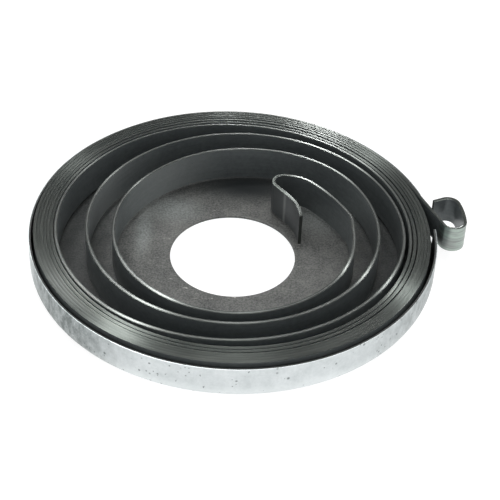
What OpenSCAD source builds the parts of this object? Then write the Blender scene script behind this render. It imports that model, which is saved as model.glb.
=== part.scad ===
// Recoil starter spring: a flat steel strip wound into a shallow sheet-metal case.
// Millimetres, +Z up, origin at the centre of the floor hole on the case's underside.
// The strip winds clockwise from its inner hook to its outer loop, seen from above.

/* [Case] */
// Outside diameter of the case
case_d = 90; // [86:0.5:110]
// Height of the wall's rim above the underside
case_h = 8.35; // [6:0.05:12]
// Thickness of the sheet
sheet_t = 0.5; // [0.4:0.05:0.8]
// Outside radius of the round corner between floor and wall
corner_r = 2.8; // [1.8:0.1:4]
// Diameter of the hole in the floor
hole_d = 28; // [16:0.5:30]

/* [Wall slot] */
// Length of the slot past the strip, on the loop's side
slot_front = 5; // [1:0.5:8]
// Length of the slot past the strip, on the coil's side
slot_back = 2.5; // [1:0.5:8]
// Gap between the slot's floor and the narrowed end of the strip
slot_gap = 0.15; // [0.1:0.05:0.5]

/* [Strip] */
// Width of the strip, which is the coil's height
strip_w = 8; // [6:0.1:12]
// Thickness of the strip
strip_t = 0.65; // [0.4:0.05:0.8]

/* [Packed turns] */
// Number of turns from the hook's side to the outer end
turns = 9; // [7:1:11]
// Gap between one packed turn and the next
turn_gap = 0.07; // [0.05:0.01:0.15]
// Gap between the packed turns and the case's wall
coil_gap = 0.6; // [0.3:0.05:1.5]
// Gap between the outermost turn's lower edge and the round corner that it sits on
seat_gap = 0.05; // [0.03:0.01:0.2]
// Angle from +X at which the outer end leaves the packed turns
leave_angle = 26.5; // [15:0.5:40]

/* [Loose turns] */
// How far the loosest turn stands inside its packed place
loose_depth = 11.5; // [6:0.1:12]

/* [Inner hook] */
// Straight length between the innermost turn and the knee
hook_lead = 3.5; // [2:0.1:8]
// Radius of the knee
knee_r = 6; // [2:0.1:10]
// Angle of the knee
knee_angle = 23.5; // [10:0.5:35]
// Radius of the arm between the knee and the shoulder
arm_r = 40; // [30:1:80]
// Angle of the arm
arm_angle = 19.5; // [8:0.5:25]
// Radius of the shoulder in front of the hook
shoulder_r = 9; // [6:0.1:14]
// Angle of the shoulder
shoulder_angle = 48; // [30:0.5:55]
// Radius of the hook
hook_r = 2.4; // [1.5:0.1:3.5]
// Angle of the hook
hook_angle = 124; // [110:1:145]
// Straight length of the tail behind the hook
tail_len = 5.3; // [2:0.1:7]
// Radius of the tail's curved end
tail_r = 12; // [8:0.1:30]
// Angle of the tail's curved end
tail_angle = 36; // [10:0.5:45]

/* [Outer loop] */
// Straight length between the packed turns and the loop
lead_len = 17.1; // [16:0.1:24]
// Part of that length over which the strip keeps its full width
lead_full = 1; // [0.4:0.1:1.5]
// Radius of the loop's front bend
loop_front_r = 2.6; // [1.5:0.1:5]
// Radius of the loop's long side
loop_side_r = 22; // [10:0.5:60]
// Angle of the loop's long side
loop_side_angle = 17.5; // [8:0.5:30]
// Radius of the loop's back bend
loop_back_r = 2.4; // [1.5:0.1:4]
// Angle of the loop's back bend
loop_back_angle = 99; // [70:1:110]
// Straight length of the loop's free end
loop_end = 2.6; // [1:0.1:3.5]

/* [Hidden] */

// Flat facets in one turn of the coil, and the largest angle of one facet in a bend
turn_facets = 90;
bend_facet = 8;
$fn = 120;

// Share of loose_depth by which the strip stands inside its packed place, one row for each turn from the hook
share_angle = 45;
loose_shares = [
    0.94, 0.83, 0.77, 0.88, 1.00, 1.00, 0.80, 0.55,
    0.52, 0.56, 0.56, 0.54, 0.54, 0.48, 0.33, 0.18,
    0.10, 0.19, 0.18, 0.07, 0.01, 0.04, 0.08, 0.05,
    0.04, 0.05, 0.04, 0.03, 0.00, 0.02, 0.05, 0.04,
    0.02, 0.03, 0.02, 0.01, 0.00, 0.00, 0.02, 0.01, 0];

// Share of a turn over which a packed turn steps out to the next
step_share = 0.2;

// The coil: outside of the packed turns, their middle line, and the middle line's clockwise angle at the end
case_r = case_d / 2;
wall_r = case_r - sheet_t;
coil_r = wall_r - coil_gap;
packed_r = coil_r - strip_t / 2;
pitch = strip_t + turn_gap;
coil_angle = 360 * turns - leave_angle;

// Heights: the outermost turn's lower edge sits in the round corner, and the outer end clears the slot's floor
corner_in = corner_r - sheet_t;
corner_reach = max(0, corner_in - coil_gap);
strip_z = corner_r - sqrt(pow(corner_in - seat_gap, 2) - pow(corner_reach, 2));
strip_top = strip_z + strip_w;
slot_z = corner_r;
end_z = slot_z + slot_gap;

// The slot's ends, as angles from +X: where the strip enters and leaves the wall, and a length past each
slot_high = leave_angle - acos(coil_r / wall_r) + slot_back / wall_r * 180 / PI;
slot_low = leave_angle - acos((coil_r - strip_t) / case_r) - slot_front / case_r * 180 / PI;

// Runs of the strip past both ends of the coil: [length] is straight, [radius, angle] turns left by the angle
hook_runs = [
    [hook_lead],
    [knee_r, knee_angle],
    [arm_r, arm_angle],
    [shoulder_r, shoulder_angle],
    [hook_r, hook_angle],
    [tail_len],
    [tail_r, -tail_angle]];
loop_runs = [
    [lead_len],
    [loop_front_r, 180 - leave_angle],
    [loop_side_r, loop_side_angle],
    [loop_back_r, loop_back_angle],
    [loop_end]];

function reverse(list) = [for (i = [len(list) - 1 : -1 : 0]) list[i]];
function forward(heading) = [cos(heading), sin(heading)];
function leftward(heading) = [-sin(heading), cos(heading)];
function quarter_turn(v) = [-v.y, v.x];
function smooth_step(u) = u * u * (3 - 2 * u);

// Cubic curve through q and r, with p before and s after them
function through(p, q, r, s, f) =
    q + f / 2 * (r - p + f * (2 * p - 5 * q + 4 * r - s + f * (3 * (q - r) + s - p)));

function loose_share(i) =
    i < 0 ? 2 * loose_shares[0] - loose_shares[1] : loose_shares[min(i, len(loose_shares) - 1)];

// How far the strip stands inside its packed place at a clockwise angle from the hook's side
function slack(angle) =
    let (i = floor(angle / share_angle), f = angle / share_angle - i)
    let (share = through(loose_share(i - 1), loose_share(i), loose_share(i + 1), loose_share(i + 2), f))
    loose_depth * max(0, share);

// Radius of the packed turns: round circles, each of which steps out to the next near the outer end
function packed_turn_r(angle) =
    let (left = (coil_angle - angle) / 360, whole = floor(left))
    let (u = max(0, (left - whole - 1 + step_share) / step_share))
    packed_r - pitch * (whole + smooth_step(u));

function coil_point(angle) = (packed_turn_r(angle) - slack(angle)) * forward(-angle);

// Points of one bend, and of a chain of runs, that starts at a point with a heading
function bend_points(start, heading, radius, angle) =
    let (facets = ceil(abs(angle) / bend_facet))
    [for (i = [1 : facets])
        start + sign(angle) * radius * (leftward(heading) - leftward(heading + angle * i / facets))];
function route(start, heading, runs, i = 0) =
    i == len(runs) ? [] :
    let (run = runs[i], bent = len(run) == 2)
    let (points = bent ? bend_points(start, heading, run[0], run[1]) : [start + run[0] * forward(heading)])
    concat(points, route(points[len(points) - 1], heading + (bent ? run[1] : 0), runs, i + 1));

// Unit direction from one point of a path to the next, and the mitred normal at a point
function direction(path, i) =
    let (step = path[i + 1] - path[i])
    step / norm(step);
function mitre(path, i) =
    let (last = len(path) - 1)
    let (sum = direction(path, max(0, i - 1)) + direction(path, min(last - 1, i)))
    2 * quarter_turn(sum) / (sum * sum);
function beside(path, offset) = [for (i = [0 : len(path) - 1]) path[i] + offset * mitre(path, i)];

// Solid strip that stands on edge along a path
module strip(path, thickness, low, high) {
    outline = concat(beside(path, thickness / 2), reverse(beside(path, -thickness / 2)));
    translate([0, 0, low])
        linear_extrude(high - low)
            polygon(outline);
}

// Half section of a cup with a round bottom corner, from the axis outwards
module cup_section(radius, height, corner) {
    square([radius - corner, height]);
    translate([0, corner])
        square([radius, height - corner]);
    translate([radius - corner, corner])
        circle(corner);
}

// Sector around the axis between two angles, wide enough to cut the wall
module sector(low, high, height) {
    reach = case_d;
    linear_extrude(height)
        polygon([[0, 0], reach * forward(low), reach * forward(high)]);
}

module spring_case() {
    color("#c9ced2")
        difference() {
            rotate_extrude()
                difference() {
                    cup_section(case_r, case_h, corner_r);
                    translate([0, sheet_t])
                        cup_section(wall_r, case_h, corner_in);
                    square([hole_d, 2 * sheet_t], center = true);
                }
            translate([0, 0, slot_z])
                sector(slot_low, slot_high, case_h);
        }
}

module power_spring() {
    facet = 360 / turn_facets;
    coil = [for (angle = [0 : facet : coil_angle - facet / 2]) coil_point(angle)];
    hook_heading = let (back = coil[0] - coil[1]) atan2(back.y, back.x);
    hook = reverse(route(coil[0], hook_heading, hook_runs));
    leave_point = coil_point(coil_angle);
    leave_heading = leave_angle - 90;
    loop = route(leave_point, leave_heading, loop_runs);
    narrow_start = leave_point + lead_full * forward(leave_heading);
    past_loop = route(leave_point, leave_heading, concat(loop_runs, [[strip_t]]));
    color("#3b3e41")
        difference() {
            strip(concat(hook, coil, [leave_point], loop), strip_t, strip_z, strip_top);
            strip(concat([narrow_start], past_loop), strip_t + turn_gap, 0, end_z);
        }
}

spring_case();
power_spring();
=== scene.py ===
"""Recoil starter spring: a dark steel strip wound into a shallow zinc-coated case, dressed and lit."""

from __future__ import annotations

import logging
import math
from collections.abc import Callable
from dataclasses import dataclass
from enum import Enum

import bpy
import numpy as np
from mathutils import Matrix, Vector

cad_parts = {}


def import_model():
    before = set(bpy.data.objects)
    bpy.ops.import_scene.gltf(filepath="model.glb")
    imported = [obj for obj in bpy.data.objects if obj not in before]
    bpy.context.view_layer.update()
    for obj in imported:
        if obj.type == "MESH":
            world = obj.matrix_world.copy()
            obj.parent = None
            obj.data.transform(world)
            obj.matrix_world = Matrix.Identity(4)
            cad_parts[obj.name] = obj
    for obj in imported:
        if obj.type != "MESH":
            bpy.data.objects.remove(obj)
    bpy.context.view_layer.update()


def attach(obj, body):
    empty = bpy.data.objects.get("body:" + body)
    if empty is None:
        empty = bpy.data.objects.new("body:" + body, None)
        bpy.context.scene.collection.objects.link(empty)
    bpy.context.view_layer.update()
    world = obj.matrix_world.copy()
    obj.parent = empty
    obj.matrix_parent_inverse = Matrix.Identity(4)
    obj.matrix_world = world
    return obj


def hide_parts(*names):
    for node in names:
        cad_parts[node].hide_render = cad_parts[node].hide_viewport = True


LOG = logging.getLogger("recoil_starter_spring")
MM = 0.001
BODY = "root"
SMOOTH_ANGLE = 40.0
BUMP_DEPTH = 0.0001

Point = tuple[float, float]
Span = tuple[float, float]
Triple = tuple[float, float, float]
Colour = tuple[float, float, float]
Runs = tuple[tuple[float, ...], ...]
Socket = bpy.types.NodeSocket


class Node(Enum):
    """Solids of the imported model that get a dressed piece."""

    CASE = "spring_case"
    SPRING = "power_spring"


class Slot(Enum):
    """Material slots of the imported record."""

    ZINC = "zinc_sheet"
    STEEL = "spring_steel"


class Pick(Enum):
    """What is picked in edit mode."""

    VERTICES = "VERT"
    EDGES = "EDGE"
    FACES = "FACE"


class Layer(Enum):
    """Names of what the strip's mesh carries for its finish."""

    FLAT_MAP = "flat_strip"
    BARE = "bare_metal"
    BORDER = "edge_border"


class Effect(Enum):
    """Node groups that the finishes share."""

    MOTTLE = "mottle"
    SPECKS = "specks"


# Mesh helpers


def deselect() -> None:
    """Leave edit mode and select nothing."""
    if bpy.context.object and bpy.context.object.mode != "OBJECT":
        bpy.ops.object.mode_set(mode="OBJECT")
    bpy.ops.object.select_all(action="DESELECT")


def pick(piece: bpy.types.Object, kind: Pick, wanted: Callable[[object], bool]) -> None:
    """Go into edit mode with only some vertices, edges or faces of a piece selected.

    Args:
        piece: The object to edit.
        kind: What is picked.
        wanted: Says of a vertex, an edge or a face whether it is picked.
    """
    deselect()
    bpy.context.view_layer.objects.active = piece
    bpy.ops.object.mode_set(mode="EDIT")
    bpy.ops.mesh.select_mode(type=kind.value)
    bpy.ops.mesh.select_all(action="DESELECT")
    bpy.ops.object.mode_set(mode="OBJECT")
    mesh = piece.data
    parts = {Pick.VERTICES: mesh.vertices, Pick.EDGES: mesh.edges, Pick.FACES: mesh.polygons}
    for part in parts[kind]:
        part.select = wanted(part)
    bpy.ops.object.mode_set(mode="EDIT")


def name_piece(name: str) -> bpy.types.Object:
    """Name the active object and its mesh, and give the object."""
    piece = bpy.context.object
    piece.name = name
    piece.data.name = name
    return piece


def apply_modifier(piece: bpy.types.Object, kind: str, **settings: object) -> None:
    """Add one modifier to a piece and apply it.

    Args:
        piece: The object, which becomes the active one.
        kind: The modifier's type.
        settings: Values set on the modifier.
    """
    bpy.context.view_layer.objects.active = piece
    modifier = piece.modifiers.new(kind.lower(), kind)
    for key, value in settings.items():
        setattr(modifier, key, value)
    bpy.ops.object.modifier_apply(modifier=modifier.name)


def smooth(piece: bpy.types.Object) -> None:
    """Shade a piece smooth across every edge flatter than the smoothing angle."""
    deselect()
    piece.select_set(True)
    bpy.context.view_layer.objects.active = piece
    bpy.ops.object.shade_smooth_by_angle(angle=math.radians(SMOOTH_ANGLE))


# Shader helpers


class Wiring:
    """Adds nodes to one node tree and joins them."""

    def __init__(self, tree: bpy.types.NodeTree) -> None:
        """Keep the tree that the nodes go into."""
        self.tree = tree

    def add(self, kind: str, **settings: object) -> bpy.types.Node:
        """Add one node.

        Args:
            kind: The node's type name.
            settings: Properties set on the node.

        Returns:
            The new node.
        """
        node = self.tree.nodes.new(kind)
        for key, value in settings.items():
            setattr(node, key, value)
        return node

    def feed(self, socket: Socket, value: object) -> None:
        """Link a socket to an output, or set it to a constant.

        Args:
            socket: The input socket.
            value: An output socket, a number, a vector or a colour.
        """
        if isinstance(value, Socket):
            self.tree.links.new(value, socket)
        elif socket.type == "RGBA":
            socket.default_value = (*value, 1.0)
        else:
            socket.default_value = value

    def math(self, operation: str, *values: object, clamp: bool = False) -> Socket:
        """Add a Math node.

        Args:
            operation: The node's operation.
            values: Its inputs in order.
            clamp: Whether the result is kept between 0 and 1.

        Returns:
            The result's socket.
        """
        node = self.add("ShaderNodeMath", operation=operation, use_clamp=clamp)
        for socket, value in zip(node.inputs, values):
            self.feed(socket, value)
        return node.outputs[0]

    def times(self, first: object, second: object) -> Socket:
        """Add the product of two values."""
        return self.math("MULTIPLY", first, second)

    def apart(self, first: object, second: object) -> Socket:
        """Add the distance between two values."""
        return self.math("ABSOLUTE", self.math("SUBTRACT", first, second))

    def length(self, first: object, second: object) -> Socket:
        """Add the length of a plane vector, given by its two parts."""
        return self.math("SQRT", self.math("ADD", self.times(first, first), self.times(second, second)))

    def weigh(self, values: tuple[Socket, ...], weights: tuple[float, ...]) -> Socket:
        """Add values up by their weights."""
        total: object = 0.0
        for value, weight in zip(values, weights):
            total = self.math("MULTIPLY_ADD", value, weight, total)
        return total

    def split(self, vector: Socket) -> tuple[Socket, ...]:
        """Split a vector into its three parts."""
        node = self.add("ShaderNodeSeparateXYZ")
        self.feed(node.inputs[0], vector)
        return tuple(node.outputs)

    def step(self, value: object, low: float, high: float) -> Socket:
        """Add a smooth step of a value, from 0 at one limit to 1 at the other."""
        node = self.add("ShaderNodeMapRange", interpolation_type="SMOOTHSTEP")
        for socket, number in zip(node.inputs, (value, low, high, 0.0, 1.0)):
            self.feed(socket, number)
        return node.outputs[0]

    def spread(self, value: object, low: object, high: object) -> Socket:
        """Spread a share from 0 to 1 evenly over a range."""
        node = self.add("ShaderNodeMapRange")
        for socket, number in zip(node.inputs, (value, 0.0, 1.0, low, high)):
            self.feed(socket, number)
        return node.outputs[0]

    def mix(self, share: object, first: object, second: object) -> Socket:
        """Mix two colours by the share of the second one."""
        node = self.add("ShaderNodeMix", data_type="RGBA")
        self.feed(node.inputs["Factor"], share)
        self.feed(node.inputs[6], first)
        self.feed(node.inputs[7], second)
        return node.outputs[2]

    def scaled(self, vector: object, scale: Triple) -> Socket:
        """Stretch coordinates by a factor on each axis."""
        node = self.add("ShaderNodeMapping")
        self.feed(node.inputs["Vector"], vector)
        node.inputs["Scale"].default_value = scale
        return node.outputs["Vector"]

    def noise(self, vector: object, scale: object, detail: float = 2.0, rough: float = 0.5) -> Socket:
        """Add a Noise texture.

        Args:
            vector: The coordinates.
            scale: Waves in a metre.
            detail: Octaves of finer noise.
            rough: How strong the finer octaves are.

        Returns:
            The noise value.
        """
        node = self.add("ShaderNodeTexNoise")
        self.feed(node.inputs["Vector"], vector)
        self.feed(node.inputs["Scale"], scale)
        node.inputs["Detail"].default_value = detail
        node.inputs["Roughness"].default_value = rough
        return node.outputs[0]

    def bump(self, height: Socket, strength: float) -> Socket:
        """Make the surface's normal uneven by a height, as a share of the bump depth."""
        node = self.add("ShaderNodeBump")
        node.inputs["Strength"].default_value = strength
        node.inputs["Distance"].default_value = BUMP_DEPTH
        self.feed(node.inputs["Height"], height)
        return node.outputs[0]

    def use(self, effect: Effect, **inputs: object) -> Socket:
        """Place a shared node group.

        Args:
            effect: The group.
            inputs: Values or sockets for its named inputs.

        Returns:
            The socket of its value.
        """
        node = self.add("ShaderNodeGroup", node_tree=bpy.data.node_groups[effect.value])
        for key, value in inputs.items():
            self.feed(node.inputs[key.capitalize()], value)
        return node.outputs[0]


def new_material(name: str) -> tuple[bpy.types.Material, Wiring, bpy.types.Node]:
    """Start a material, and give it with its wiring and its shader."""
    material = bpy.data.materials.new(name)
    material.use_nodes = True
    return material, Wiring(material.node_tree), material.node_tree.nodes["Principled BSDF"]


def new_group(effect: Effect, numbers: tuple[str, ...]) -> tuple[Wiring, bpy.types.Node, bpy.types.Node]:
    """Start a node group with a Vector input, number inputs and one Value output.

    Args:
        effect: The group.
        numbers: Names of the number inputs.

    Returns:
        The group's wiring, its input node and its output node.
    """
    tree = bpy.data.node_groups.new(effect.value, "ShaderNodeTree")
    tree.interface.new_socket("Vector", in_out="INPUT", socket_type="NodeSocketVector")
    for number in numbers:
        tree.interface.new_socket(number, in_out="INPUT", socket_type="NodeSocketFloat")
    tree.interface.new_socket("Value", in_out="OUTPUT", socket_type="NodeSocketFloat")
    wiring = Wiring(tree)
    return wiring, wiring.add("NodeGroupInput"), wiring.add("NodeGroupOutput")


def add_mottle() -> None:
    """Make the cloudy unevenness of metal that was handled and oiled: a value around one half."""
    finer, shares = 5.3, (0.6, 0.4)
    wiring, given, made = new_group(Effect.MOTTLE, ("Scale", "Contrast"))
    vector, scale, contrast = (given.outputs[name] for name in ("Vector", "Scale", "Contrast"))
    coarse = wiring.noise(vector, scale, detail=3.0, rough=0.55)
    fine = wiring.noise(vector, wiring.times(scale, finer), detail=4.0, rough=0.6)
    centred = wiring.math("SUBTRACT", wiring.weigh((coarse, fine), shares), 0.5)
    lifted = wiring.times(centred, contrast)
    wiring.feed(made.inputs[0], wiring.math("ADD", lifted, 0.5, clamp=True))


def add_specks() -> None:
    """Make scattered specks that gather in patches: a mask that is 1 in a speck."""
    patch_scale, patch_limits, patch_chances = 0.16, (0.42, 0.68), (0.25, 1.6)
    sizes, rim = (0.7, 1.9), (0.42, 0.12)
    wiring, given, made = new_group(Effect.SPECKS, ("Scale", "Amount"))
    vector, scale, amount = (given.outputs[name] for name in ("Vector", "Scale", "Amount"))
    cells = wiring.add("ShaderNodeTexVoronoi")
    wiring.feed(cells.inputs["Vector"], vector)
    wiring.feed(cells.inputs["Scale"], scale)
    patches = wiring.noise(vector, wiring.times(scale, patch_scale))
    chance = wiring.times(amount, wiring.spread(wiring.step(patches, *patch_limits), *patch_chances))
    lots = wiring.add("ShaderNodeSeparateColor")
    wiring.feed(lots.inputs[0], cells.outputs["Color"])
    chosen = wiring.math("LESS_THAN", lots.outputs[0], chance)
    sized = wiring.times(cells.outputs["Distance"], wiring.spread(lots.outputs[1], *sizes))
    wiring.feed(made.inputs[0], wiring.times(chosen, wiring.step(sized, *rim)))


# Finishes


@dataclass(frozen=True)
class Mottle:
    """One use of the mottle group: waves in a metre, and contrast."""

    scale: float
    contrast: float

    def value(self, wiring: Wiring, place: Socket) -> Socket:
        """Wire the mottle's value at some coordinates."""
        return wiring.use(Effect.MOTTLE, vector=place, scale=self.scale, contrast=self.contrast)


@dataclass(frozen=True)
class Specks:
    """One use of the specks group: cells in a metre, share of cells with a speck, and strength."""

    scale: float
    amount: float
    strength: float

    def mask(self, wiring: Wiring, place: Socket) -> Socket:
        """Wire the mask of the specks at some coordinates."""
        dots = wiring.use(Effect.SPECKS, vector=place, scale=self.scale, amount=self.amount)
        return wiring.times(dots, self.strength)


@dataclass(frozen=True)
class Streaks:
    """One stretched noise: its stretch on each axis, waves in a metre, octaves and their strength."""

    stretch: Triple
    scale: float
    detail: float
    rough: float

    def value(self, wiring: Wiring, place: Socket) -> Socket:
        """Wire the noise at some coordinates."""
        return wiring.noise(wiring.scaled(place, self.stretch), self.scale, self.detail, self.rough)


@dataclass(frozen=True)
class ShadingOval:
    """A soft oval patch of the floor where light or shade is painted, by its middle and its half axes in
    metres.
    """

    x: float
    y: float
    reach_x: float
    reach_y: float
    full_share: float = 0.1

    def mask(self, wiring: Wiring, place: Socket) -> Socket:
        """Wire a mask that is 1 in the middle of the patch and fades to 0 at its border."""
        centred = wiring.add("ShaderNodeMapping")
        wiring.feed(centred.inputs["Vector"], place)
        centred.inputs["Location"].default_value = (-self.x / self.reach_x, -self.y / self.reach_y, 0.0)
        centred.inputs["Scale"].default_value = (1.0 / self.reach_x, 1.0 / self.reach_y, 0.0)
        length = wiring.add("ShaderNodeVectorMath", operation="LENGTH")
        wiring.feed(length.inputs[0], centred.outputs["Vector"])
        return wiring.step(length.outputs["Value"], 1.0, self.full_share)


@dataclass(frozen=True)
class CupInside:
    """Oiled inside of a cup: the middle of its round corner, the reach from there, and its hole."""

    corner_place: float
    corner_z: float
    reach: float
    hole_r: float

    def mask(self, wiring: Wiring, place: Socket) -> Socket:
        """Wire a mask that is 1 on the inside and 0 on the outside."""
        x, y, z = wiring.split(place)
        outward = wiring.math("SUBTRACT", wiring.length(x, y), self.corner_place)
        downward = wiring.math("SUBTRACT", self.corner_z, z)
        legs = (wiring.math("MAXIMUM", leg, 0.0) for leg in (outward, downward))
        return wiring.math("LESS_THAN", wiring.length(*legs), self.reach)


@dataclass(frozen=True)
class ZincSheet:
    """Zinc-coated sheet: pale and specked outside, and dark with oil inside. Places are in metres."""

    pale: Colour = (0.74, 0.775, 0.785)
    dull: Colour = (0.56, 0.60, 0.605)
    cloud: Mottle = Mottle(260.0, 2.2)
    # Painted reflection: the foot of the wall is lightened towards this colour, as if it mirrored the white
    # floor.
    painted_foot_reflection: Colour = (0.90, 0.94, 0.94)
    foot_reflection_heights: Span = (0.0045, 0.0012)
    foot_reflection_share: float = 0.6
    # Greyer in patches towards both sides of the wall.
    side_grey: Colour = (0.165, 0.187, 0.183)
    side_grey_left: Span = (0.016, 0.034)
    side_grey_left_fade: Span = (0.0448, 0.0408)
    side_grey_left_shares: Span = (0.25, 1.0)
    side_grey_right: Span = (0.020, 0.054)
    side_grey_patches: Mottle = Mottle(700.0, 4.0)
    side_grey_stretch: Triple = (1.0, 1.0, 0.6)
    side_grey_shares: Span = (0.45, 1.0)
    speck: Colour = (0.13, 0.15, 0.15)
    specks: Specks = Specks(1250.0, 0.24, 0.75)
    oiled: Colour = (0.196, 0.198, 0.188)
    # Dark oil, also the colour of the painted shade between the turns and at the back.
    dark_oil_and_shade: Colour = (0.020, 0.024, 0.025)
    film: Mottle = Mottle(60.0, 2.6)
    grain: Mottle = Mottle(2400.0, 5.0)
    film_and_grain: Span = (0.50, 0.50)
    # Painted shade: the floor darkens between the outer turns, where they shade it.
    turn_shade_radii: Span = (0.034, 0.022)
    turn_shade_shares: Span = (0.45, 1.15)
    # Painted highlights: the floor is lightened towards this colour in the oval patches below.
    painted_highlight: Colour = (0.280, 0.302, 0.292)
    highlight_shares: Span = (0.35, 0.95)
    highlight_places: tuple[ShadingOval, ...] = (
        ShadingOval(-0.0144, 0.0156, 0.0095, 0.0070),
        ShadingOval(-0.0205, 0.0070, 0.0030, 0.0120),
        ShadingOval(0.0200, 0.0165, 0.0115, 0.0105),
    )
    # Painted shade and dark reflection of the back turns on the floor.
    back_shade_place: ShadingOval = ShadingOval(0.0020, 0.0255, 0.0190, 0.0085)
    worn: Colour = (0.52, 0.52, 0.48)
    worn_reach: Span = (0.0045, 0.001)
    scuffs: Streaks = Streaks((0.6, 2.2, 1.0), 620.0, 3.0, 0.7)
    scuff_limits: Span = (0.64, 0.72)
    rough_outside: Span = (0.54, 0.40)
    rough_inside: Span = (0.52, 0.40)
    metal_inside: float = 0.20
    oil_gloss: float = 0.25
    uneven: Streaks = Streaks((1.0, 1.0, 1.0), 900.0, 3.0, 0.5)
    uneven_strength: float = 0.15

    def outside_colour(self, wiring: Wiring, place: Socket, cloud: Socket) -> Socket:
        """Wire the outside: clouded zinc, lighter at the foot by a painted reflection of the white floor,
        greyer in patches towards both sides, and specked.

        Args:
            wiring: The material's wiring.
            place: The coordinates.
            cloud: The zinc's mottle.

        Returns:
            The colour's socket.
        """
        x, _, z = wiring.split(place)
        # Painted reflection of the white floor at the foot of the wall.
        foot = wiring.times(wiring.step(z, *self.foot_reflection_heights), self.foot_reflection_share)
        coating = wiring.mix(foot, wiring.mix(cloud, self.dull, self.pale), self.painted_foot_reflection)
        # The wall turns greyer in patches towards both sides.
        leftward = wiring.times(x, -1.0)
        fade = wiring.spread(wiring.step(leftward, *self.side_grey_left_fade), *self.side_grey_left_shares)
        left = wiring.times(wiring.step(leftward, *self.side_grey_left), fade)
        sides = wiring.math("ADD", left, wiring.step(x, *self.side_grey_right))
        patches = self.side_grey_patches.value(wiring, wiring.scaled(place, self.side_grey_stretch))
        greyed = wiring.times(sides, wiring.spread(patches, *self.side_grey_shares))
        coating = wiring.mix(greyed, coating, self.side_grey)
        return wiring.mix(self.specks.mask(wiring, place), coating, self.speck)

    def inside_colour(self, wiring: Wiring, place: Socket, film: Socket, hole_r: float) -> Socket:
        """Wire the inside: an oil film with painted shade between the outer turns and at the back, lighter
        in painted highlights, and scuffed at the hole.

        Args:
            wiring: The material's wiring.
            place: The coordinates.
            film: The oil film's mottle.
            hole_r: Radius of the floor's hole.

        Returns:
            The colour's socket.
        """
        x, y, _ = wiring.split(place)
        radius = wiring.length(x, y)
        grain = self.grain.value(wiring, place)
        # Painted shade between the outer turns: the oil's tone drops with the radius.
        turn_shade = wiring.spread(wiring.step(radius, *self.turn_shade_radii), *self.turn_shade_shares)
        tone = wiring.times(wiring.weigh((film, grain), self.film_and_grain), turn_shade)
        oil = wiring.mix(wiring.math("MINIMUM", tone, 1.0), self.dark_oil_and_shade, self.oiled)
        # Painted highlights: lighter oval patches where lamp light falls on the floor and is reflected.
        for highlight_oval in self.highlight_places:
            lit_patch = wiring.times(highlight_oval.mask(wiring, place), wiring.spread(grain, *self.highlight_shares))
            oil = wiring.mix(lit_patch, oil, self.painted_highlight)
        # Painted shade: the floor darkens at the back, where it mirrors and lies beside the back turns.
        oil = wiring.mix(self.back_shade_place.mask(wiring, place), oil, self.dark_oil_and_shade)
        rim = wiring.step(radius, *(hole_r + reach for reach in self.worn_reach))
        scuffed = wiring.times(rim, wiring.step(self.scuffs.value(wiring, place), *self.scuff_limits))
        return wiring.mix(scuffed, oil, self.worn)

    def material(self, cup: CupInside) -> bpy.types.Material:
        """Make the finish.

        Args:
            cup: Says where the case's inside is.

        Returns:
            The material.
        """
        material, wiring, shader = new_material(Slot.ZINC.value)
        place = wiring.add("ShaderNodeTexCoord").outputs["Object"]
        inside = cup.mask(wiring, place)
        cloud = self.cloud.value(wiring, place)
        film = self.film.value(wiring, place)
        zinc = self.outside_colour(wiring, place, cloud)
        oil = self.inside_colour(wiring, place, film, cup.hole_r)
        wiring.feed(shader.inputs["Base Color"], wiring.mix(inside, zinc, oil))
        rough_zinc = wiring.spread(cloud, *self.rough_outside)
        rough_oil = wiring.spread(film, *self.rough_inside)
        wiring.feed(shader.inputs["Roughness"], wiring.spread(inside, rough_zinc, rough_oil))
        wiring.feed(shader.inputs["Metallic"], wiring.spread(inside, 1.0, self.metal_inside))
        shader.inputs["Specular IOR Level"].default_value = self.oil_gloss
        uneven = self.uneven.value(wiring, place)
        wiring.feed(shader.inputs["Normal"], wiring.bump(uneven, self.uneven_strength))
        return material


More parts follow.
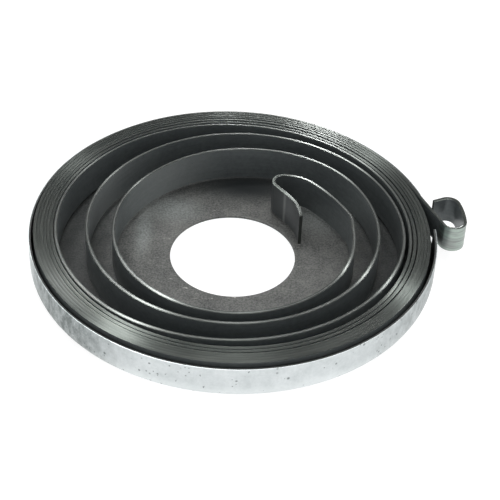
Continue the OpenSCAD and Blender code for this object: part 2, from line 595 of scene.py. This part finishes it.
@dataclass(frozen=True)
class SpringSteel:
    """Faces of the cold-rolled strip: dark with oil, darker towards the tail, with painted highlights on
    the tail and on the first turns, and bare outside the loop.

    Places along the strip are in metres from the tail.
    """

    face: Colour = (0.087, 0.100, 0.103)
    face_light: Colour = (0.133, 0.148, 0.151)
    streaks: Streaks = Streaks((0.06, 1.0, 1.0), 1600.0, 4.0, 0.65)
    cloud: Mottle = Mottle(70.0, 1.8)
    grain: Mottle = Mottle(1100.0, 2.0)
    tone_weights: Triple = (0.35, 0.35, 0.30)
    tone_limits: Span = (0.30, 0.70)
    # Darker towards the tail end.
    darker_tail: Colour = (0.050, 0.056, 0.058)
    darker_tail_end: Span = (0.024, 0.012)
    rubbed: Colour = (0.24, 0.25, 0.245)
    # Painted highlight: a bright line across the tail's face, in the rubbed colour.
    highlight_line_at: float = 0.0089
    highlight_line_half: float = 0.0007
    highlight_line_share: float = 0.5
    # Painted highlights on the faces of the inner turns, at the places listed below.
    painted_highlight: Colour = (0.28, 0.30, 0.30)
    highlight_places: tuple[Span, ...] = ((0.155, 0.020), (0.336, 0.024))
    highlight_shares: Span = (0.5, 1.0)
    bare: Colour = (0.41, 0.49, 0.44)
    bands: Streaks = Streaks((0.15, 1.0, 1.0), 700.0, 3.0, 0.6)
    band_limits: Span = (0.35, 0.65)
    specks: Specks = Specks(1700.0, 0.12, 0.30)
    rough: Span = (0.44, 0.28)
    metal: float = 0.4
    uneven_strength: float = 0.08

    def rolled_colour(self, wiring: Wiring, along: Socket, tone: Socket) -> Socket:
        """Wire the oiled faces: darker towards the tail, with a painted highlight line across it, and
        lighter at two painted highlights.

        Args:
            wiring: The material's wiring.
            along: The place along the strip.
            tone: The steel's mottle.

        Returns:
            The colour's socket.
        """
        rolled = wiring.mix(wiring.step(tone, *self.tone_limits), self.face, self.face_light)
        # Darker towards the tail end.
        rolled = wiring.mix(wiring.step(along, *self.darker_tail_end), rolled, self.darker_tail)
        # Painted highlight: a reflection line across the curved tail.
        highlight_line = wiring.step(wiring.apart(along, self.highlight_line_at), self.highlight_line_half, 0.0)
        rolled = wiring.mix(wiring.times(highlight_line, self.highlight_line_share), rolled, self.rubbed)
        # Painted highlights: the faces lighten at two places along the strip.
        for place, reach in self.highlight_places:
            patch = wiring.step(wiring.apart(along, place), reach, 0.0)
            lit_patch = wiring.times(patch, wiring.spread(tone, *self.highlight_shares))
            rolled = wiring.mix(lit_patch, rolled, self.painted_highlight)
        return rolled

    def material(self) -> bpy.types.Material:
        """Make the finish."""
        material, wiring, shader = new_material(Slot.STEEL.value)
        flat = wiring.add("ShaderNodeUVMap", uv_map=Layer.FLAT_MAP.value).outputs[0]
        bare = wiring.add("ShaderNodeAttribute", attribute_name=Layer.BARE.value).outputs["Fac"]
        streaks = self.streaks.value(wiring, flat)
        mottles = (mottle.value(wiring, flat) for mottle in (self.cloud, self.grain))
        tone = wiring.weigh((streaks, *mottles), self.tone_weights)
        rolled = self.rolled_colour(wiring, wiring.split(flat)[0], tone)
        bands = wiring.step(self.bands.value(wiring, flat), *self.band_limits)
        steel = wiring.mix(bare, rolled, wiring.mix(bands, self.rubbed, self.bare))
        specked = wiring.mix(self.specks.mask(wiring, flat), steel, self.face)
        wiring.feed(shader.inputs["Base Color"], specked)
        wiring.feed(shader.inputs["Roughness"], wiring.spread(tone, *self.rough))
        wiring.feed(shader.inputs["Metallic"], wiring.spread(bare, self.metal, 1.0))
        wiring.feed(shader.inputs["Normal"], wiring.bump(streaks, self.uneven_strength))
        return material


@dataclass(frozen=True)
class SlitEdge:
    """Slit edges of the strip: brushed lengthwise, dull in the pack and brighter where loose turns rub.

    Places along the strip are in metres from the tail.
    """

    packed: Colour = (0.037, 0.0415, 0.0385)
    packed_light: Colour = (0.0555, 0.0605, 0.056)
    packed_limits: Span = (0.38, 0.66)
    rubbed: Colour = (0.122, 0.128, 0.124)
    rubbed_limits: Span = (0.30, 0.62)
    rubbed_shares: Span = (0.55, 1.0)
    loose_end: Span = (0.71, 0.64)
    tail_end: Span = (0.016, 0.025)
    patches: Streaks = Streaks((1.0, 0.0, 0.0), 34.0, 3.0, 0.6)
    nicks: Streaks = Streaks((1.0, 0.0, 0.0), 420.0, 3.0, 0.7)
    nick_limits: Span = (0.60, 0.72)
    nick_share: float = 0.12
    rough: Span = (0.45, 0.35)
    brushed: float = 1.0
    brushed_turn: float = 0.25

    def material(self) -> bpy.types.Material:
        """Make the finish."""
        material, wiring, shader = new_material("slit_edge")
        flat = wiring.add("ShaderNodeUVMap", uv_map=Layer.FLAT_MAP.value).outputs[0]
        border = wiring.add("ShaderNodeAttribute", attribute_name=Layer.BORDER.value).outputs["Fac"]
        along = wiring.split(flat)[0]
        patches = self.patches.value(wiring, flat)
        packed = wiring.mix(wiring.step(patches, *self.packed_limits), self.packed, self.packed_light)
        loose = wiring.times(wiring.step(along, *self.loose_end), wiring.step(along, *self.tail_end))
        uneven = wiring.spread(wiring.step(patches, *self.rubbed_limits), *self.rubbed_shares)
        rubbing = wiring.times(wiring.times(loose, uneven), wiring.spread(border, 1.0, 0.0))
        edge = wiring.mix(rubbing, packed, self.rubbed)
        nicks = wiring.step(self.nicks.value(wiring, flat), *self.nick_limits)
        edge = wiring.mix(wiring.times(nicks, self.nick_share), edge, self.rubbed)
        wiring.feed(shader.inputs["Base Color"], edge)
        wiring.feed(shader.inputs["Roughness"], wiring.spread(patches, *self.rough))
        shader.inputs["Metallic"].default_value = 1.0
        shader.inputs["Anisotropic"].default_value = self.brushed
        shader.inputs["Anisotropic Rotation"].default_value = self.brushed_turn
        return material


# Sub-assemblies


@dataclass
class SpringCase:
    """The drawn sheet-metal cup that holds the wound strip. Sizes are in millimetres."""

    outer_r: float = 45.0
    rim_z: float = 8.35
    sheet: float = 0.5
    corner_r: float = 2.8
    hole_r: float = 14.0
    slot_low: float = 4.0
    slot_high: float = 20.3
    slot_corner: float = 0.8
    slot_corner_steps: int = 4
    edge_round: float = 0.13
    edge_round_steps: int = 2
    edge_angle: float = 50.0
    pale_rim: float = 0.12
    hole_margin: float = 1.0
    facets: int = 240
    corner_steps: int = 9

    def skin(self) -> list[Point]:
        """Points of the outer skin's half section from the hole to the rim, as radius and height."""
        centre = self.outer_r - self.corner_r
        floor = (self.hole_r, self.hole_r + self.hole_margin, 0.5 * (self.hole_r + centre))
        points = [(radius, 0.0) for radius in floor]
        for i in range(self.corner_steps + 1):
            angle = 0.5 * math.pi * i / self.corner_steps
            radius = centre + self.corner_r * math.sin(angle)
            points.append((radius, self.corner_r * (1.0 - math.cos(angle))))
        points.append((self.outer_r, 0.5 * (self.corner_r + self.rim_z)))
        points.append((self.outer_r, self.rim_z))
        return points

    def draw_skin(self) -> bpy.types.Object:
        """Draw the outer skin from a ring around the hole, extruded outwards and up the wall.

        Returns:
            The open skin.
        """
        deselect()
        points = [(MM * r, MM * z) for r, z in self.skin()]
        bpy.ops.mesh.primitive_circle_add(vertices=self.facets, radius=points[0][0], fill_type="NOTHING")
        piece = name_piece("case_shell")
        bpy.ops.object.mode_set(mode="EDIT")
        bpy.ops.mesh.select_all(action="SELECT")
        for (r0, z0), (r1, z1) in zip(points[:-1], points[1:]):
            bpy.ops.mesh.extrude_edges_move(TRANSFORM_OT_translate={"value": (0.0, 0.0, z1 - z0)})
            bpy.ops.transform.resize(value=(r1 / r0, r1 / r0, 1.0), center_override=(0.0, 0.0, z1))
        bpy.ops.mesh.select_all(action="SELECT")
        bpy.ops.mesh.normals_make_consistent(inside=False)
        bpy.ops.object.mode_set(mode="OBJECT")
        return piece

    def slot_cutter(self) -> bpy.types.Object:
        """Make the block that punches the slot: upright, with round lower corners.

        Returns:
            The block.
        """
        deselect()
        middle = math.radians(0.5 * (self.slot_low + self.slot_high))
        half = math.radians(0.5 * (self.slot_high - self.slot_low))
        width = 2.0 * self.outer_r * math.sin(half)
        low, high = self.corner_r, self.rim_z + self.corner_r
        bpy.ops.mesh.primitive_cube_add(size=1.0)
        block = name_piece("slot_block")
        bpy.ops.object.mode_set(mode="EDIT")
        bpy.ops.mesh.select_all(action="SELECT")
        bpy.ops.transform.resize(value=(MM * 2.0 * self.corner_r, MM * width, MM * (high - low)))
        bpy.ops.object.mode_set(mode="OBJECT")

        def lower_corner(edge: bpy.types.MeshEdge) -> bool:
            """Say whether an edge runs through the wall at the block's foot."""
            one, other = (block.data.vertices[i].co for i in edge.vertices)
            return abs(one.x - other.x) > MM and one.z < 0.0

        pick(block, Pick.EDGES, lower_corner)
        bpy.ops.mesh.bevel(offset=MM * self.slot_corner, segments=self.slot_corner_steps)
        bpy.ops.object.mode_set(mode="OBJECT")
        seat = Vector((self.outer_r * math.cos(half), 0.0, 0.5 * (low + high)))
        block.data.transform(Matrix.Rotation(middle, 4, "Z") @ Matrix.Translation(MM * seat))
        return block

    def build(self) -> bpy.types.Object:
        """Model the case: skin, sheet thickness, slot and rounded cut edges.

        Returns:
            The finished piece.
        """
        piece = self.draw_skin()
        apply_modifier(piece, "SOLIDIFY", thickness=MM * self.sheet, offset=-1.0, use_even_offset=True)
        block = self.slot_cutter()
        apply_modifier(piece, "BOOLEAN", object=block, operation="DIFFERENCE", solver="EXACT")
        bpy.data.objects.remove(block)
        apply_modifier(
            piece,
            "BEVEL",
            width=MM * self.edge_round,
            segments=self.edge_round_steps,
            limit_method="ANGLE",
            angle_limit=math.radians(self.edge_angle),
        )
        smooth(piece)
        return piece

    def dress(self, piece: bpy.types.Object, finish: ZincSheet) -> None:
        """Give the case its finish and its place in the frame.

        Args:
            piece: The case.
            finish: The zinc finish.
        """
        piece.data.materials.clear()
        cup = CupInside(
            corner_place=MM * (self.outer_r - self.corner_r),
            corner_z=MM * self.corner_r,
            reach=MM * (self.corner_r - self.pale_rim),
            hole_r=MM * self.hole_r,
        )
        piece.data.materials.append(finish.material(cup))
        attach(piece, BODY)
        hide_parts(Node.CASE.value)


# How far the strip stands inside its packed place, as shares of the loose depth: one row for each turn
LOOSE_SHARES = (
    0.94, 0.83, 0.77, 0.88, 1.00, 1.00, 0.80, 0.55,
    0.52, 0.56, 0.56, 0.54, 0.54, 0.48, 0.33, 0.18,
    0.10, 0.19, 0.18, 0.07, 0.01, 0.04, 0.08, 0.05,
    0.04, 0.05, 0.04, 0.03, 0.00, 0.02, 0.05, 0.04,
    0.02, 0.03, 0.02, 0.01, 0.00, 0.00, 0.02, 0.01, 0.0,
)


@dataclass
class PowerSpring:
    """The wound strip with its hooked and looped ends. Sizes are in millimetres and degrees."""

    width: float = 8.0
    thickness: float = 0.65
    low_z: float = 1.326
    end_low_z: float = 2.95
    coil_r: float = 43.9
    turns: int = 9
    turn_gap: float = 0.07
    oil_film: float = 0.02
    leave_angle: float = 26.5
    loose_depth: float = 11.5
    share_angle: float = 45.0
    step_share: float = 0.2
    lead_full: float = 1.0
    narrow_step: float = 0.25
    crown: tuple[Point, ...] = ((0.10, 0.012), (0.10, 0.008))
    rollover: float = 0.09
    loop_inside: Point = (48.5, 8.3)
    bare_back: float = 2.5
    bare_fade: float = 6.0
    hook_chord: float = 4.0
    turn_facet: float = 2.0
    bend_facet: float = 5.0
    straight_facet: float = 1.0
    crown_facing: float = 0.9
    slit_facing: float = 0.5
    end_facing: float = 0.7
    hook: Runs = ((3.5,), (6.0, 23.5), (40.0, 19.5), (9.0, 48.0), (2.4, 124.0), (5.3,), (12.0, -36.0))
    loop: Runs = ((17.1,), (2.6, 153.5), (22.0, 17.5), (2.4, 99.0), (2.6,))

    def share(self, i: int) -> float:
        """Share of the loose depth at one eighth of a turn, counted from the hook."""
        if i < 0:
            return 2.0 * LOOSE_SHARES[0] - LOOSE_SHARES[1]
        return LOOSE_SHARES[min(i, len(LOOSE_SHARES) - 1)]

    def slack(self, angle: float) -> float:
        """How far the strip stands inside its packed place.

        Args:
            angle: Clockwise angle from the hook's side.

        Returns:
            The distance inwards.
        """
        i = math.floor(angle / self.share_angle)
        f = angle / self.share_angle - i
        p, q, r, s = (self.share(i + k) for k in (-1, 0, 1, 2))
        curve = q + f / 2 * (r - p + f * (2 * p - 5 * q + 4 * r - s + f * (3 * (q - r) + s - p)))
        return self.loose_depth * max(0.0, curve)

    def coil_angle(self) -> float:
        """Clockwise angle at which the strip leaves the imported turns."""
        return 360.0 * self.turns - self.leave_angle

    def coil_point(self, angle: float) -> Vector:
        """Middle line of the coil.

        Args:
            angle: Clockwise angle from the hook's side.

        Returns:
            The point in the plan.
        """
        left = (self.coil_angle() - angle) / 360.0
        whole = math.floor(left)
        u = max(0.0, (left - whole - 1.0 + self.step_share) / self.step_share)
        pitch = self.thickness + self.turn_gap
        packed = self.coil_r - self.thickness / 2 - pitch * (whole + u * u * (3.0 - 2.0 * u))
        radius = packed - self.slack(angle)
        turned = math.radians(-angle)
        return Vector((radius * math.cos(turned), radius * math.sin(turned)))

    def route(self, start: Vector, heading: float, runs: Runs) -> list[Vector]:
        """Follow straight and bent runs of the strip.

        Args:
            start: Where the first run starts.
            heading: Direction of the first run.
            runs: A length for a straight run, or a radius and an angle to the left for a bend.

        Returns:
            The points after the start.
        """
        points: list[Vector] = []
        here, turned = start, math.radians(heading)
        for run in runs:
            bent = len(run) == 2
            size, sweep = run[0], math.radians(run[1]) if bent else 0.0
            side = math.copysign(1.0, sweep)
            facets = math.degrees(abs(sweep)) / self.bend_facet if bent else size / self.straight_facet
            steps = math.ceil(facets)
            centre = here + side * size * Vector((-math.sin(turned), math.cos(turned)))
            for i in range(1, steps + 1):
                now = turned + sweep * i / steps
                if bent:
                    points.append(centre - side * size * Vector((-math.sin(now), math.cos(now))))
                else:
                    points.append(here + size * i / steps * Vector((math.cos(now), math.sin(now))))
            here, turned = points[-1], turned + sweep
        return points

    def middle_line(self) -> tuple[list[Vector], int]:
        """Whole middle line from the tail of the hook to the end of the loop.

        Returns:
            The points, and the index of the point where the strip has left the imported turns.
        """
        end = self.coil_angle()
        angles = np.arange(0.0, end - self.turn_facet / 2, self.turn_facet)
        coil = [self.coil_point(float(angle)) for angle in angles] + [self.coil_point(end)]
        back = coil[0] - self.coil_point(self.hook_chord)
        hook = self.route(coil[0], math.degrees(math.atan2(back.y, back.x)), self.hook)
        heading = self.leave_angle - 90.0
        ahead = Vector((math.cos(math.radians(heading)), math.sin(math.radians(heading))))
        narrow = [coil[-1] + reach * ahead for reach in (self.lead_full, self.lead_full + self.narrow_step)]
        first, *bends = self.loop
        rest = self.route(narrow[-1], heading, ((first[0] - self.lead_full - self.narrow_step,), *bends))
        before = hook[::-1] + coil
        return before + narrow + rest, len(before)

    def draw_ribbon(self, line: list[Vector]) -> bpy.types.Object:
        """Draw the strip as a ribbon: one upright edge extruded along the middle line.

        Args:
            line: The middle line.

        Returns:
            The ribbon.
        """
        deselect()
        height = self.width - 2.0 * self.crown_height()
        bpy.ops.mesh.primitive_plane_add(size=MM * height, rotation=(math.pi / 2, 0.0, 0.0))
        ribbon = name_piece("spring_strip")
        bpy.ops.object.transform_apply(location=True, rotation=True, scale=True)
        pick(ribbon, Pick.VERTICES, lambda vertex: vertex.co.x > 0.0)
        bpy.ops.mesh.delete(type="VERT")
        bpy.ops.mesh.select_all(action="SELECT")
        start = Vector((line[0].x + height / 2, line[0].y, self.low_z + self.width / 2))
        bpy.ops.transform.translate(value=MM * start)
        for here, there in zip(line[:-1], line[1:]):
            move = MM * (there - here)
            bpy.ops.mesh.extrude_edges_move(TRANSFORM_OT_translate={"value": (move.x, move.y, 0.0)})
        bpy.ops.object.mode_set(mode="OBJECT")
        return ribbon

    def build(self) -> bpy.types.Object:
        """Model the strip.

        Returns:
            The finished piece.
        """
        line, leave = self.middle_line()
        ribbon = self.draw_ribbon(line)
        lengths = self.map_flat(ribbon, line)
        self.narrow_end(ribbon, lengths[leave])
        oiled = MM * (self.thickness + 2.0 * self.oil_film)
        apply_modifier(ribbon, "SOLIDIFY", thickness=oiled, offset=0.0, use_even_offset=True)
        self.roll_edge(ribbon, line)
        self.crown_edges(ribbon)
        self.mark_faces(ribbon, line)
        smooth(ribbon)
        return ribbon

    def map_flat(self, ribbon: bpy.types.Object, line: list[Vector]) -> np.ndarray:
        """Give the ribbon the map of the flat strip: length and height in metres.

        Args:
            ribbon: The ribbon, whose vertices lie in pairs over the points of the line.
            line: The middle line.

        Returns:
            The length along the strip at each point of the line.
        """
        points = MM * np.array([tuple(p) for p in line])
        lengths = np.concatenate([[0.0], np.cumsum(np.hypot(*np.diff(points, axis=0).T))])
        places = np.array([tuple(v.co) for v in ribbon.data.vertices])
        column = [int(np.argmin(((points - place[:2]) ** 2).sum(1))) for place in places]
        layer = ribbon.data.uv_layers.new(name=Layer.FLAT_MAP.value)
        for loop in ribbon.data.loops:
            vertex = loop.vertex_index
            layer.data[loop.index].uv = (lengths[column[vertex]], places[vertex][2])
        return lengths

    def narrow_end(self, ribbon: bpy.types.Object, full_length: float) -> None:
        """Raise the lower edge of the outer end, so that it clears the slot's floor.

        Args:
            ribbon: The ribbon with its flat map.
            full_length: Length along the strip at which it narrows, in metres.
        """
        layer = ribbon.data.uv_layers[Layer.FLAT_MAP.value]
        middle = MM * (self.low_z + self.width / 2)
        beyond = {
            loop.vertex_index
            for loop in ribbon.data.loops
            if layer.data[loop.index].uv.x > full_length + MM * 0.5 * self.narrow_step
            and ribbon.data.vertices[loop.vertex_index].co.z < middle
        }
        pick(ribbon, Pick.VERTICES, lambda vertex: vertex.index in beyond)
        bpy.ops.transform.translate(value=(0.0, 0.0, MM * (self.end_low_z - self.low_z)))
        bpy.ops.object.mode_set(mode="OBJECT")

    def roll_edge(self, ribbon: bpy.types.Object, line: list[Vector]) -> None:
        """Lower the upper edge on the coil's outside, where the slitting shears rolled it over.

        Args:
            ribbon: The strip with its thickness.
            line: The middle line.
        """
        points = MM * np.array([tuple(p) for p in line])
        ways = np.gradient(points, axis=0)
        rolled = set()
        for vertex in ribbon.data.vertices:
            apart = np.array(vertex.co.xy) - points
            near = int(np.argmin((apart ** 2).sum(1)))
            left = ways[near][0] * apart[near][1] - ways[near][1] * apart[near][0]
            if left > 0.0 and vertex.co.z > MM * (self.low_z + self.width / 2):
                rolled.add(vertex.index)
        pick(ribbon, Pick.VERTICES, lambda vertex: vertex.index in rolled)
        bpy.ops.transform.translate(value=(0.0, 0.0, -MM * self.rollover))
        bpy.ops.object.mode_set(mode="OBJECT")

    def crown_height(self) -> float:
        """How far the slit edges bulge."""
        return sum(rise for _, rise in self.crown)

    def crown_edges(self, ribbon: bpy.types.Object) -> None:
        """Round the slit edges slightly: each inset leaves a sloping border and lifts what is inside it.

        Args:
            ribbon: The strip with its thickness.
        """
        pick(ribbon, Pick.FACES, lambda face: abs(face.normal.z) > self.crown_facing)
        for border, rise in self.crown:
            bpy.ops.mesh.inset(thickness=MM * border, depth=MM * rise)
        bpy.ops.object.mode_set(mode="OBJECT")

    def mark_faces(self, ribbon: bpy.types.Object, line: list[Vector]) -> None:
        """Give the strip's cut edges and ends the second finish, and mark the bare outside of its loop.

        Args:
            ribbon: The strip.
            line: The middle line.
        """
        tips = ((line[0], line[1]), (line[-1], line[-2]))
        ends = [(MM * tip, (tip - before).normalized()) for tip, before in tips]
        inside = MM * Vector(self.loop_inside)
        middle = {face.index for face in ribbon.data.polygons if face.select}
        bare, border = [], []
        for face in ribbon.data.polygons:
            centre, normal = face.center.xy, face.normal.xy
            slit = abs(face.normal.z) > self.slit_facing
            border.append(float(slit and face.index not in middle))
            cut = any(
                (centre - place).length < MM * self.thickness and normal.dot(way) > self.end_facing
                for place, way in ends
            )
            face.material_index = int(slit or cut)
            outside = centre.x > inside.x - MM * self.bare_back and normal.dot(centre - inside) > 0.0
            fade = (inside.y - centre.y) / (MM * self.bare_fade) + 0.5
            bare.append(min(1.0, max(0.0, fade)) if outside and not slit else 0.0)
        for layer, values in ((Layer.BARE, bare), (Layer.BORDER, border)):
            ribbon.data.attributes.new(layer.value, "FLOAT", "FACE").data.foreach_set("value", values)

    def dress(self, piece: bpy.types.Object, faces: SpringSteel, edges: SlitEdge) -> None:
        """Give the strip its finishes and its place in the frame.

        Args:
            piece: The strip, whose slit edges take the second finish.
            faces: The finish of the rolled faces.
            edges: The finish of the slit edges.
        """
        piece.data.materials.append(faces.material())
        piece.data.materials.append(edges.material())
        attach(piece, BODY)
        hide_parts(Node.SPRING.value)


# Studio


class Reach(Enum):
    """What a lamp lights: everything, only what is glossy, or only the gloss of the strip."""

    ALL = "all"
    GLOSS = "gloss"
    STRIP_GLOSS = "strip_gloss"


@dataclass(frozen=True)
class Lamp:
    """One soft lamp: its direction from the object, its size in metres, its power and what it lights."""

    name: str
    direction: Triple
    size: float
    watts: float
    reach: Reach = Reach.GLOSS
    distance: float = 0.9

    def place(self, strip_only: bpy.types.Collection) -> None:
        """Add the lamp, facing the object.

        Args:
            strip_only: The collection that holds the strip alone.
        """
        light = bpy.data.lights.new(self.name, "AREA")
        light.shape = "DISK"
        light.size = self.size
        light.energy = self.watts
        lamp = bpy.data.objects.new(self.name, light)
        bpy.context.scene.collection.objects.link(lamp)
        away = Vector(self.direction).normalized()
        lamp.location = away * self.distance
        lamp.rotation_mode = "QUATERNION"
        lamp.rotation_quaternion = away.to_track_quat("Z", "Y")
        lamp.visible_diffuse = self.reach is Reach.ALL
        if self.reach is Reach.STRIP_GLOSS:
            lamp.light_linking.receiver_collection = strip_only


@dataclass
class Studio:
    """Camera, white surroundings and lamps. Camera sizes are in degrees, millimetres and pixels."""

    elevation: float = 39.638
    roll: float = 2.879
    distance: float = 351.134
    focal_px: float = 1565.24
    image_px: float = 500.0
    offset_px: Point = (-17.195, 7.858)
    sensor: float = 36.0
    clip: Span = (0.01, 50.0)
    ambient: float = 0.8
    floor_white: float = 0.36
    floor_glow: float = 0.82
    floor_size: float = 4.0
    floor_drop: float = 0.05
    lamps: tuple[Lamp, ...] = (
        Lamp("key_lamp", (0.62, 0.42, 0.66), 0.20, 1.3, Reach.ALL),
        Lamp("left_gloss", (-0.40, 0.22, 0.89), 0.14, 8.0),
        Lamp("right_gloss", (0.62, 0.42, 0.66), 0.06, 4.2, Reach.STRIP_GLOSS),
        Lamp("far_gloss", (0.114, 0.93, 0.35), 0.07, 4.6, Reach.STRIP_GLOSS),
        Lamp("top_gloss", (0.0, 0.0, 1.0), 0.30, 1.9),
        Lamp("back_gloss", (-0.058, 0.788, 0.612), 0.06, 0.2),
        Lamp("rear_gloss", (-0.028, 0.961, 0.275), 0.06, 0.9, Reach.STRIP_GLOSS),
    )

    def add_camera(self) -> None:
        """Add the camera at the photographed angle."""
        tilt, roll = math.radians(self.elevation), math.radians(self.roll)
        right = Vector((1.0, 0.0, 0.0))
        up = Vector((0.0, math.sin(tilt), math.cos(tilt)))
        back = Vector((0.0, -math.cos(tilt), math.sin(tilt)))
        shift_x, shift_y = (offset * self.distance / self.focal_px for offset in self.offset_px)
        eye = back * self.distance - right * shift_x + up * shift_y
        camera_x = right * math.cos(roll) + up * math.sin(roll)
        camera_y = up * math.cos(roll) - right * math.sin(roll)
        lens = bpy.data.cameras.new("camera")
        lens.sensor_width = self.sensor
        lens.lens = self.focal_px / self.image_px * self.sensor
        lens.clip_start, lens.clip_end = self.clip
        camera = bpy.data.objects.new("camera", lens)
        bpy.context.scene.collection.objects.link(camera)
        turn = Matrix((camera_x, camera_y, back)).transposed()
        camera.matrix_world = Matrix.Translation(MM * eye) @ turn.to_4x4()
        bpy.context.scene.camera = camera

    def seen_white(self, wiring: Wiring, low: float, high: float) -> Socket:
        """Make one strength for white that is seen, also in a reflection, and another for its light.

        Args:
            wiring: The tree's wiring.
            low: Strength for light that falls on surfaces.
            high: Strength for what is seen.

        Returns:
            The strength's socket.
        """
        path = wiring.add("ShaderNodeLightPath")
        seen = wiring.math("MAXIMUM", path.outputs["Is Camera Ray"], path.outputs["Is Glossy Ray"])
        seen = wiring.math("MAXIMUM", seen, path.outputs["Is Transmission Ray"])
        return wiring.spread(seen, low, high)

    def add_surroundings(self) -> None:
        """Add the white world and the white floor, which keeps the shadow."""
        world = bpy.data.worlds.new("surroundings")
        world.use_nodes = True
        bpy.context.scene.world = world
        wiring = Wiring(world.node_tree)
        background = world.node_tree.nodes["Background"]
        background.inputs["Color"].default_value = (1.0, 1.0, 1.0, 1.0)
        wiring.feed(background.inputs["Strength"], self.seen_white(wiring, self.ambient, 1.0))

        deselect()
        bpy.ops.mesh.primitive_plane_add(size=self.floor_size, location=(0.0, 0.0, -MM * self.floor_drop))
        floor = name_piece("floor")
        material, wiring, shader = new_material("floor")
        wiring.tree.nodes.remove(shader)
        matte = wiring.add("ShaderNodeBsdfDiffuse")
        wiring.feed(matte.inputs["Color"], (self.floor_white,) * 3)
        glow = wiring.add("ShaderNodeEmission")
        wiring.feed(glow.inputs["Strength"], self.seen_white(wiring, 0.0, self.floor_glow))
        both = wiring.add("ShaderNodeAddShader")
        wiring.feed(both.inputs[0], matte.outputs[0])
        wiring.feed(both.inputs[1], glow.outputs[0])
        wiring.feed(wiring.tree.nodes["Material Output"].inputs["Surface"], both.outputs[0])
        floor.data.materials.append(material)

    def build(self, strip: bpy.types.Object) -> None:
        """Set up the whole studio.

        Args:
            strip: The strip, which some lamps light alone.
        """
        bpy.context.scene.view_settings.view_transform = "Standard"
        strip_only = bpy.data.collections.new("strip_only")
        strip_only.objects.link(strip)
        self.add_camera()
        self.add_surroundings()
        for lamp in self.lamps:
            lamp.place(strip_only)


def main() -> None:
    """Build the case, the strip and the studio, and report each piece."""
    logging.basicConfig(level=logging.INFO, format="%(name)s: %(message)s")
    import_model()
    add_mottle()
    add_specks()
    case = SpringCase()
    shell = case.build()
    case.dress(shell, ZincSheet())
    LOG.info("%s: %d faces", shell.name, len(shell.data.polygons))
    spring = PowerSpring()
    strip = spring.build()
    spring.dress(strip, SpringSteel(), SlitEdge())
    LOG.info("%s: %d faces", strip.name, len(strip.data.polygons))
    Studio().build(strip)


if __name__ == "__main__":
    main()
